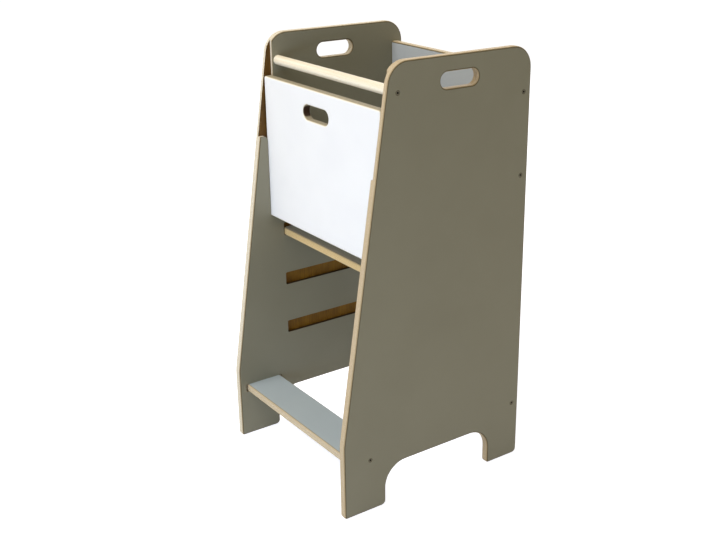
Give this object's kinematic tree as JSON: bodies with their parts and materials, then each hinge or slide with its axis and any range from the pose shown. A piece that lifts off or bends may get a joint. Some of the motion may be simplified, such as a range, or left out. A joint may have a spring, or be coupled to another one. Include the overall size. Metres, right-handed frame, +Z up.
{
  "type": "toddler kitchen helper stool",
  "caption": "Plywood learning tower with two arched side panels, a climbing step, a platform in level grooves, a lift-out guard board and a round front rail.",
  "frame": {"origin": "middle of the footprint, on the floor", "axes": "+Z up; +Y from the climbing side to the rear; +X to the right seen from the climbing side"},
  "size_m": [0.436, 0.454, 0.8994],
  "materials": {
    "grey_plywood": "matt grey laminate on both faces, bare birch edges",
    "white_plywood": "satin white laminate on both faces, bare birch edges",
    "beech": "sanded, clear matt varnish",
    "screw_steel": "bright zinc plated, hexagon socket"
  },
  "bodies": {
    "frame": {"left_side_panel": "grey_plywood", "right_side_panel": "grey_plywood", "climbing_step": "grey_plywood", "rear_guard_panel": "grey_plywood", "lower_rear_rail": "grey_plywood", "front_rail": "beech", "front_rail_screw_left": "screw_steel", "front_rail_screw_right": "screw_steel", "guard_panel_upper_screw_left": "screw_steel", "guard_panel_upper_screw_right": "screw_steel", "guard_panel_lower_screw_left": "screw_steel", "guard_panel_lower_screw_right": "screw_steel", "rear_rail_screw_left": "screw_steel", "rear_rail_screw_right": "screw_steel", "step_screw_left": "screw_steel", "step_screw_right": "screw_steel", "rear_rail_pin_upper_left": "beech", "rear_rail_pin_upper_right": "beech", "rear_rail_pin_lower_left": "beech", "rear_rail_pin_lower_right": "beech"},
    "guard_board": {"guard_board": "white_plywood"},
    "platform": {"standing_platform": "grey_plywood"}
  },
  "joints": [
    {"name": "guard_board_lift", "type": "slide", "parent": "frame", "child": "guard_board", "axis": [0, 0, 1], "range_m": [0, 0.39]},
    {"name": "platform_slide", "type": "slide", "parent": "frame", "child": "platform", "axis": [0, 1, 0], "range_m": [0, 0.33]}
  ]
}
